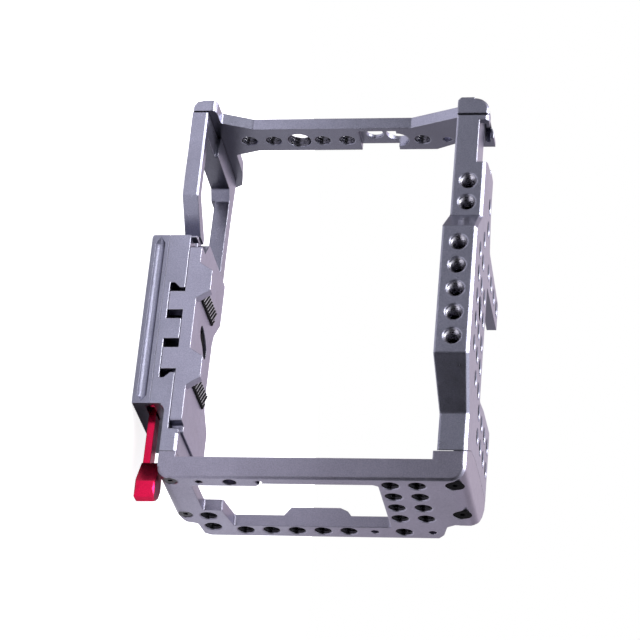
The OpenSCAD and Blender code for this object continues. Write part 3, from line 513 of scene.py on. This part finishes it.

# %% [markdown]
# ## Frames and plate
# The frames wear the titanium grey of the anodising bath, a trifle darker on the port side. The
# base plate was left rougher, and the camera plate, which is handled most, is lighter and has more
# edge wear and painted edge highlight. One grey for all of them would hide the seams between the
# parts.

# %% Frames and plate
FRAME_METAL = dict(group=blast, bump=0.35, metallic=0.96)
# shaded=True lays the painted shade of the inner sides and the groove's painted highlight and
# shade on this grey
TITANIUM = finish("titanium_anodised", **FRAME_METAL, shaded=True, Roughness=0.30, Wear=0.25,
                  Tone=(0.255, 0.255, 0.328, 1), Edge_Tone=(0.72, 0.71, 0.78, 1), Edge=0.0007)
TITANIUM_DARK = finish("titanium_anodised_port", **FRAME_METAL, Roughness=0.31, Wear=0.25,
                       Tone=(0.245, 0.235, 0.302, 1), Edge_Tone=(0.66, 0.64, 0.72, 1), Edge=0.0007)
BASE = finish("titanium_anodised_base", **FRAME_METAL, shaded=True, Roughness=0.46, Wear=0.12,
              Tone=(0.25, 0.25, 0.322, 1), Edge_Tone=(0.6, 0.6, 0.68, 1), Edge=0.00025)
PLATE = finish("titanium_anodised_plate", **FRAME_METAL, Roughness=0.32, Wear=0.45,
               Tone=(0.288, 0.284, 0.366, 1), Edge_Tone=(0.80, 0.79, 0.86, 1), Edge=0.0005)
print("four greys for the frames and the plate")

# %% [markdown]
# ## Lever and steel parts
# The lever is dyed red in the bath and keeps a finer, glossier skin. Most screws are blackened
# steel, and the shaft, clips, jaw and spring are bare. The upper screws of the port side, the
# camera screw and the drilled ends of the front holes lie in deep shade: they get a painted-shade
# black that mirrors almost nothing, because a darker steel would still shine.

# %% Lever and steel parts
RED = finish("lever_anodised_red", blast, 0.15, 1.0, Tone=(0.58, 0.010, 0.058, 1),
             Edge_Tone=(1.0, 0.16, 0.28, 1), Roughness=0.20, Grain=0.5, Wear=0.3)
STEEL = finish("screw_steel_black", blast, 0.2, 0.9, Tone=(0.05, 0.05, 0.055, 1),
               Edge_Tone=(0.4, 0.4, 0.42, 1), Roughness=0.36, Wear=0.5)
BLACK_PAINTED_SHADE = finish("black_painted_shade", blast, 0.2, 0.0, shine=0.02, Tone=(0.006, 0.006, 0.007, 1),
               Edge_Tone=(0.018, 0.018, 0.02, 1), Roughness=0.6, Wear=0.4)
BRIGHT = finish("shaft_steel", blast, 0.2, 0.95, Tone=(0.42, 0.42, 0.44, 1),
                Edge_Tone=(0.8, 0.8, 0.8, 1), Roughness=0.3, Wear=0.3)
print("red, black and bright metal")

# %% [markdown]
# ## Cut threads
# A tap leaves smooth flanks, bright where they face a lamp. Light falls into the front holes,
# less into those of the deck, the grip bar and the base, and hardly any into those of the port
# side. Each group gets a tone of its own, lit and shaded copies of one thread: painted light in
# the front holes, painted half shade in the deck, grip bar and base, and painted deep shade in the
# port side.

# %% Cut threads
# crests take the edge tone over this width: partly wear, partly a painted highlight
THREAD_EDGE = 0.00015                          # metres over which a crest is worn
THREAD_PAINTED_MID = finish("cut_thread_painted_half_shade", blast, 0.2, 0.95, Tone=(0.09, 0.087, 0.11, 1),
                Edge_Tone=(0.8, 0.8, 0.84, 1), Roughness=0.24, Wear=0.4, Edge=THREAD_EDGE)
THREAD_PAINTED_LIGHT = finish("cut_thread_painted_light", blast, 0.2, 1.0, Tone=(0.50, 0.49, 0.55, 1),
                    Edge_Tone=(0.95, 0.95, 0.97, 1), Roughness=0.27, Wear=0.5, Edge=THREAD_EDGE)
THREAD_PAINTED_SHADE = finish("cut_thread_painted_shade", blast, 0.2, 0.9, Tone=(0.016, 0.015, 0.02, 1),
                     Edge_Tone=(0.5, 0.5, 0.54, 1), Roughness=0.22, Wear=0.25, Edge=THREAD_EDGE)
print("three tones of cut thread")

# %% [markdown]
# ## Dressing the solids
# The rubber pads are nearly black, with tops that are rubbed grey. Then every solid gets its
# finish from a list by name: a list is easy to check against the parts on a bench, while
# clicking through the slots is not.

# %% Dressing the solids
RUBBER = finish("pad_rubber", ridged, 0.5, 0.0, shine=0.12, Tone=(0.008, 0.008, 0.009, 1),
                Roughness=0.85)
RIB_TOP = finish("pad_rubber_ribs", ridged, 0.5, 0.0, shine=0.3, Tone=(0.26, 0.25, 0.27, 1),
                 Roughness=0.7)
WEARS = {
    "grip_side_frame": TITANIUM, "port_side_frame": TITANIUM_DARK, "top_plate": TITANIUM,
    "bottom_frame": TITANIUM, "base_plate": BASE, "camera_plate": PLATE,
    "grip_side_pad": RUBBER, "port_side_pad": RUBBER, "lock_lever": RED,
    "grip_top_screws": STEEL, "grip_bottom_screws": STEEL, "port_top_screws": BLACK_PAINTED_SHADE,
    "port_bottom_screws": STEEL, "base_screws": STEEL, "camera_screw": BLACK_PAINTED_SHADE,
    "screw_clip": BRIGHT, "cam_shaft": BRIGHT, "shaft_clip": BRIGHT, "clamp_jaw": BRIGHT,
    "jaw_spring": BRIGHT}
for name, material in WEARS.items():
    for slot in nodes[name].material_slots:
        slot.material = material
print("dressed", len(WEARS), "nodes")

# %% [markdown]
# ## Threads
# The accessory holes are tapped: the threads show as bright rings inside the bores. Each thread
# is a helical ridge that stands on the wall of its bore. Its inner surface is a grid of rows
# at half the pitch, alternately at the crest and at the root, and each row climbs by one pitch
# per turn. A screw modifier could sweep a tooth instead, but the rows can be held back at both
# mouths, where the ridge fades out.

# %% Thread rows
AROUND = 24                                    # points in one turn
WALL_GAP, MOUTH_GAP = 0.015, 0.42              # from the bore's wall and from its mouths
RUN_OUT = 0.6                                  # pitches over which a ridge fades at a mouth
QUARTER = dict(bore=6.35, pitch=1.27, depth=0.62)
THREE_EIGHTHS = dict(bore=9.53, pitch=1.5875, depth=0.8)


def helix_rows(mesh, start, axis, low, high, bore, pitch, depth):
    """Rows of points with their heights before these are held between low and high."""
    side = axis.orthogonal().normalized()
    other = axis.cross(side)
    rows = []
    for k in range(2 * int((high - low) / pitch) + 6):
        row = []
        for j in range(AROUND):
            z = low + (k / 2 - 1.5 + j / AROUND) * pitch
            fade = min(max(min(z - low, high - z) / (RUN_OUT * pitch), 0.0), 1.0)
            radius = bore / 2 - WALL_GAP - (depth * fade if k % 2 == 0 else 0.0)
            turn = j / AROUND * math.tau
            spot = start + axis * min(max(z, low), high)
            spot += (side * math.cos(turn) + other * math.sin(turn)) * radius
            row.append((mesh.verts.new(spot * MM), z))
        rows.append(row)
    return rows


print("a quarter inch thread has", round(25.4 / QUARTER["pitch"]), "turns to the inch")

# %% [markdown]
# ## Thread sleeves
# Faces join each row to the next. At the end of a turn the helix has climbed by two rows, so
# the seam steps up by two and the ridge runs on. Crest and root stay sharp and the way round is
# smooth; rounding everything would turn the thread into a bellows.

# %% Thread sleeves


def thread_sleeve(mesh, start, axis, length, bore, pitch, depth):
    """Adds one threaded sleeve to a mesh, from start along axis, in millimetres."""
    low, high = MOUTH_GAP, length - MOUTH_GAP
    rows = helix_rows(mesh, Vector(start), Vector(axis), low, high, bore, pitch, depth)
    for k in range(len(rows) - 1):
        for j in range(AROUND):
            # after a full turn the next point is on the row two up
            next_k, next_j = (k, j + 1) if j + 1 < AROUND else (k + 2, 0)
            if next_k + 1 >= len(rows):
                continue
            corners = [rows[k][j], rows[next_k][next_j], rows[next_k + 1][next_j], rows[k + 1][j]]
            heights = [z for point, z in corners]
            if max(heights) <= low or min(heights) >= high:
                continue
            flank = mesh.faces.new([point for point, z in corners])
            flank.edges[0].smooth = flank.edges[2].smooth = False


print("sleeves have", AROUND, "points around")

# %% [markdown]
# ## Finished pieces
# Every added piece takes the same steps: drop stray points, make the object, give it its
# materials and hand it to a body of the mechanism.

# %% Finished pieces


def piece(name, mesh, body, slot_name, *materials, smooth=True):
    """A finished piece that rides on a body; faces keep their material numbers."""
    loose = [v for v in mesh.verts if not v.link_faces]
    bmesh.ops.delete(mesh, geom=loose, context="VERTS")
    data = bpy.data.meshes.new(name)
    mesh.to_mesh(data)
    mesh.free()
    for face in data.polygons:
        face.use_smooth = smooth
    for material in materials:
        data.materials.append(material)
    thing = bpy.data.objects.new(name, data)
    scene.collection.objects.link(thing)
    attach(thing, body)
    return thing


def threads(name, holes, slot_name, material):
    """One piece with a threaded sleeve for every hole in a list."""
    mesh = bmesh.new()
    for start, axis, length, kind in holes:
        thread_sleeve(mesh, start, axis, length, **kind)
    thing = piece(name, mesh, "cage", slot_name, material)
    print(name, "has", len(holes), "threads and", len(thing.data.polygons), "faces")


print("pieces can be finished")

# %% [markdown]
# ## Front holes
# Five holes sit in the nose of the top plate and two in the beam beside it. Their places come
# from the boxes of the solids, so they follow the frame. They could be picked from the mesh, but
# a row with a start and a step is how a machinist would set them out.

# %% Front holes
GRID = 10.0                                    # step of the accessory holes
NOSE_X = 92                                    # from the grip side to the middle of the nose
FRONT_DROP, FRONT_DEPTH = 6.7, 9.5             # below the deck, and into the metal
BEAM_SHIFT, BEAM_STEP, BEAM_RISE = 54, 9.6, 0.3    # towards the grip side, and upwards
TO_REAR = (0, 1, 0)
port_low, port_high = (Vector(corner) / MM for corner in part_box("port_side_frame"))
top_low, top_high = (Vector(corner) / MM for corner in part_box("top_plate"))
x_grip = (Vector(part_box("grip_side_frame")[0]) / MM).x
x_port, y_nose, y_front, z_top = port_high.x, top_low.y, port_low.y, top_high.z
nose_x = x_grip + NOSE_X
front_z = z_top - FRONT_DROP
front_holes = [((nose_x + i * GRID, y_nose, front_z), TO_REAR, FRONT_DEPTH, QUARTER)
               for i in range(-2, 3)]
front_holes += [((nose_x - BEAM_SHIFT + i * BEAM_STEP, y_front, front_z + BEAM_RISE),
                 TO_REAR, FRONT_DEPTH, QUARTER) for i in range(2)]
threads("threads_front", front_holes, "titanium_grey", THREAD_PAINTED_LIGHT)

# %% [markdown]
# ## Ends of the front holes
# These holes are blind: the drill leaves a shallow cone at the bottom. A flat disc would do, but
# the cone is what a twist drill cuts, and it costs one extra point for each hole.

# %% Front hole ends
END_R, END_RISE, END_GAP = 3.15, 0.9, 0.1      # radius, depth and gap behind the tip
ends = bmesh.new()
for (x, y, z), *_ in front_holes:
    tip_y = y + FRONT_DEPTH - END_GAP
    ring = []
    for k in range(AROUND):
        turn = k / AROUND * math.tau
        point = (x + END_R * math.cos(turn), tip_y - END_RISE, z + END_R * math.sin(turn))
        ring.append(ends.verts.new(Vector(point) * MM))
    tip = ends.verts.new(Vector((x, tip_y, z)) * MM)
    for k in range(AROUND):
        ends.faces.new((ring[k], ring[(k + 1) % AROUND], tip))
# the drill cones wear the painted-shade black
piece("front_hole_ends", ends, "cage", "titanium_grey", BLACK_PAINTED_SHADE)
print(len(front_holes), "front holes end in a drill cone")

# %% [markdown]
# ## Deck holes
# The deck carries a 10 mm grid of quarter inch threads with one larger thread in the middle, and
# its two rear arms carry columns of the same grid. The thin arm is not as thick as the deck, so
# its threads start higher. An array modifier could repeat one thread, but the grid has gaps.

# %% Deck holes
DECK_DEPTH, ARM_DEPTH = 6.5, 3.8
GRID_SHIFT = 3.8                               # from the middle of the nose to that of the grid
# how far each row lies behind the nose, and which steps of the grid are tapped in it
DECK_ROWS = [(13.3, (-2, -1, 0, 1, 2)), (23.4, (-3, -2, -1, 1, 2, 3)), (32.5, (-5, -4)),
             (33.5, (-1, 0, 1, 2, 3))]
LARGE_BACK = 23.4                              # the larger thread, in the middle of the grid
THIN_ARM_X, THIN_ARM_BACK = -25.6, 41.2        # the arm's only column
THICK_ARM_X, THICK_ARM_BACK = (36.5, 46.5), 38.9    # the arm's two columns
ARM_HOLES = 4
UPWARD = (0, 0, 1)
grid_x = nose_x - GRID_SHIFT
deck_z, arm_z = z_top - DECK_DEPTH, z_top - ARM_DEPTH
deck_holes = [((grid_x + i * GRID, y_nose + back, deck_z), UPWARD, DECK_DEPTH, QUARTER)
              for back, steps in DECK_ROWS for i in steps]
deck_holes.append(((grid_x, y_nose + LARGE_BACK, deck_z), UPWARD, DECK_DEPTH, THREE_EIGHTHS))
for i in range(ARM_HOLES):
    thin = (grid_x + THIN_ARM_X, y_nose + THIN_ARM_BACK + i * GRID, arm_z)
    deck_holes.append((thin, UPWARD, ARM_DEPTH, QUARTER))
    for x in THICK_ARM_X:
        thick = (grid_x + x, y_nose + THICK_ARM_BACK + i * GRID, deck_z)
        deck_holes.append((thick, UPWARD, DECK_DEPTH, QUARTER))
threads("threads_deck", deck_holes, "titanium_grey", THREAD_PAINTED_MID)

# %% [markdown]
# ## Grip bar holes
# The bar on the grip side has one column of quarter inch threads with a larger thread among them
# for a side handle. The wall is thin, so each thread has only three turns. The places are steps
# of the same grid, counted from the lowest hole.

# %% Grip bar holes
GRIP_WALL = 4.8
GRIP_BACK = 23.3                               # behind the front of the frames
RAIL_DROP = 117                                # from the deck down to the lower rail
GRIP_RISE, GRIP_LARGE_RISE = 17.3, 37.8        # above the lower rail
GRIP_STEPS = (0, 1, 3, 4, 7.05)                # the topmost is a little off the grid
TO_PORT = (1, 0, 0)
grip_y = y_front + GRIP_BACK
rail_z = z_top - RAIL_DROP
grip_holes = [((x_grip, grip_y, rail_z + GRIP_RISE + k * GRID), TO_PORT, GRIP_WALL, QUARTER)
              for k in GRIP_STEPS]
large = (x_grip, grip_y, rail_z + GRIP_LARGE_RISE)
grip_holes.append((large, TO_PORT, GRIP_WALL, THREE_EIGHTHS))
threads("threads_grip", grip_holes, "titanium_grey", THREAD_PAINTED_MID)

# %% [markdown]
# ## Port frame holes
# Eight threads sit beside the top corner of the port frame, a column follows its rear edge, and
# three more sit at the corners. Each is given by how far it lies behind the front of the frames
# and how high, as on a drawing of that face.

# %% Port frame holes
PORT_WALL = 4.7
PORT_BACK, PORT_STEP = 5.6, 9.7                # first hole behind the front, and their step
PORT_DROP, EDGE_DROP = 28.3, 89.6              # under the deck
REAR_BACK, EDGE_HOLES = 47.1, 5
FOOT_BACKS, FOOT_RISE = (34.5, 44.3), 15.1     # the two holes near the lower rail
wall_x = x_port - PORT_WALL
rear_y = y_front + REAR_BACK
spots = [(y_front + PORT_BACK + i * PORT_STEP, z_top - PORT_DROP + k * GRID)
         for i in range(4) for k in range(2)]
spots += [(rear_y, z_top - EDGE_DROP + i * GRID) for i in range(EDGE_HOLES)]
spots.append((rear_y, z_top - PORT_DROP))
spots += [(y_front + back, rail_z + FOOT_RISE) for back in FOOT_BACKS]
port_holes = [((wall_x, y, z), TO_PORT, PORT_WALL, QUARTER) for y, z in spots]
threads("threads_port", port_holes, "titanium_grey_dark", THREAD_PAINTED_SHADE)

# %% [markdown]
# ## Base holes
# A tripod screw goes into the large thread in the middle of the base, or into a smaller one on
# either side. They face down, where only a low view finds them, but the base would look
# unfinished without them.

# %% Base holes
BASE_T = 6.9
RECEIVER_X, TRIPOD_X = 61.8, 30                # to the receiver's end, and on to its middle
TRIPOD_SIDE, TRIPOD_BACK = 16, 22              # to either side, and behind the front
base_x = x_grip + RECEIVER_X + TRIPOD_X
base_y = y_front + TRIPOD_BACK
base_holes = [((base_x, base_y, 0), UPWARD, BASE_T, THREE_EIGHTHS)]
base_holes += [((base_x + side, base_y, 0), UPWARD, BASE_T, QUARTER)
               for side in (-TRIPOD_SIDE, TRIPOD_SIDE)]
threads("threads_base", base_holes, "titanium_grey", THREAD_PAINTED_MID)

# %% [markdown]
# ## Outline of the ribs
# The pads that grip the camera are moulded with slanting ribs. Each rib is a strip of the pad's
# own slanting outline, cut off between two parallel lines. A boolean would cut the strips as
# well, but a convex outline needs only this small clip.

# %% Rib strips
PAD_OUTLINE = [(-4, 9), (4, -1), (4, 21), (-4, 25.4)]
PAD_MIDDLE = 12.3                              # y of the middle of that outline
SHRINK_X, SHRINK_Y = 0.93, 0.95                # the ribs end short of the pad's rim
field = [(x * SHRINK_X, PAD_MIDDLE + (y - PAD_MIDDLE) * SHRINK_Y) for x, y in PAD_OUTLINE]


def clip(shape, point, normal):
    """The part of a convex outline on the side of a line that normal points to."""
    kept = []
    for a, b in zip(shape, shape[1:] + shape[:1]):
        past_a = (a[0] - point[0]) * normal[0] + (a[1] - point[1]) * normal[1]
        past_b = (b[0] - point[0]) * normal[0] + (b[1] - point[1]) * normal[1]
        if past_a >= 0:
            kept.append(a)
        if (past_a >= 0) != (past_b >= 0):
            share = past_a / (past_a - past_b)
            kept.append((a[0] + share * (b[0] - a[0]), a[1] + share * (b[1] - a[1])))
    return kept


print("pad field has", len(field), "corners")

# %% [markdown]
# ## Ribs of the rubber pads
# The ribs keep dust from making the camera slip. Each is a low block with a narrower top, its
# foot sunk a little into the pad. A bump map would do from afar, but the ribs cast real shadows
# at a low angle.

# %% Pad ribs
PAD_BACK = 8.5                                 # from the front of the frames to the outline
RIB_PITCH, RIB_W, RIB_H, RIB_SEAT = 1.7, 1.0, 0.5, 0.1
TAPER = 0.55                                   # share by which a rib's top is narrower
SHORTEST = 1.0                                 # a shorter strip gets no rib
FIRST_RIB, LAST_RIB = -4, 25                   # more than the pad holds, counted along ACROSS
ALONG, ACROSS = Vector((-0.718, 0.696)), Vector((0.696, 0.718))


def rib(mesh, strip, centre, x, y, z):
    """Adds one rib over a strip of the pad whose face is at z."""
    foot, top = [], []
    for corner in strip:
        low_point = Vector((x + corner[0], y + corner[1], z - RIB_SEAT))
        foot.append(mesh.verts.new(low_point * MM))
    for corner in strip:
        off = (Vector(corner) - centre).dot(ACROSS)
        drawn_in = Vector(corner) - ACROSS * off * TAPER
        high_point = Vector((x + drawn_in.x, y + drawn_in.y, z + RIB_H))
        top.append(mesh.verts.new(high_point * MM))
    mesh.faces.new(top).material_index = 1
    mesh.faces.new(list(reversed(foot)))
    for i in range(len(strip)):
        j = (i + 1) % len(strip)
        mesh.faces.new((foot[i], foot[j], top[j], top[i]))


for name in ("grip_side_pad", "port_side_pad"):
    low, high = (Vector(corner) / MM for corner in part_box(name))
    mesh = bmesh.new()
    count = 0
    for k in range(FIRST_RIB, LAST_RIB + 1):
        centre = ACROSS * (k * RIB_PITCH)
        strip = clip(field, centre - ACROSS * (RIB_W / 2), ACROSS)
        strip = clip(strip, centre + ACROSS * (RIB_W / 2), -ACROSS)
        reach = [Vector(corner).dot(ALONG) for corner in strip]
        if len(strip) < 3 or max(reach) - min(reach) < SHORTEST:
            continue
        rib(mesh, strip, centre, (low.x + high.x) / 2, y_front + PAD_BACK, high.z)
        count += 1
    piece(name + "_ribs", mesh, "plate", "rubber_black", RUBBER, RIB_TOP, smooth=False)
    print(name, "has", count, "ribs")

# %% [markdown]
# ## Spring of the jaw
# A small coil draws the jaw back when the cam lets go. The solid that stands for it is a plain
# tube; the coil here has round wire whose turns lie closer at both ends, and replaces it. A curve
# with a bevel would give the same coil, but here it stays a mesh like every other piece.

# %% Jaw spring
WIRE, TURNS, STEPS, SIDES = 0.2, 9, 18, 8      # wire radius, turns, steps a turn, wire facets
EASE = 0.3                                     # how much closer the turns lie at the ends
low, high = (Vector(corner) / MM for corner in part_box("jaw_spring"))
middle = (low + high) / 2
coil_r = (high.x - low.x) / 2 - WIRE
length = high.y - low.y - 2 * WIRE
total = TURNS * STEPS
mesh = bmesh.new()
rings = []
for i in range(total + 1):
    turn = i / STEPS * math.tau
    t = i / total
    eased = t * t * (3 - 2 * t) * EASE + t * (1 - EASE)
    outward = Vector((math.cos(turn), 0, math.sin(turn)))
    centre = Vector((middle.x, low.y + WIRE + length * eased, middle.z)) + outward * coil_r
    ring = []
    for k in range(SIDES):
        a = k / SIDES * math.tau
        offset = outward * (WIRE * math.cos(a)) + Vector((0, WIRE * math.sin(a), 0))
        ring.append(mesh.verts.new((centre + offset) * MM))
    rings.append(ring)
for a, b in zip(rings, rings[1:]):
    for k in range(SIDES):
        mesh.faces.new((a[k], a[(k + 1) % SIDES], b[(k + 1) % SIDES], b[k]))
mesh.faces.new(list(reversed(rings[0])))
mesh.faces.new(rings[-1])
coil = piece("jaw_coil", mesh, "jaw", "steel", BRIGHT)
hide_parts("jaw_spring")
print("coil has", TURNS, "turns")
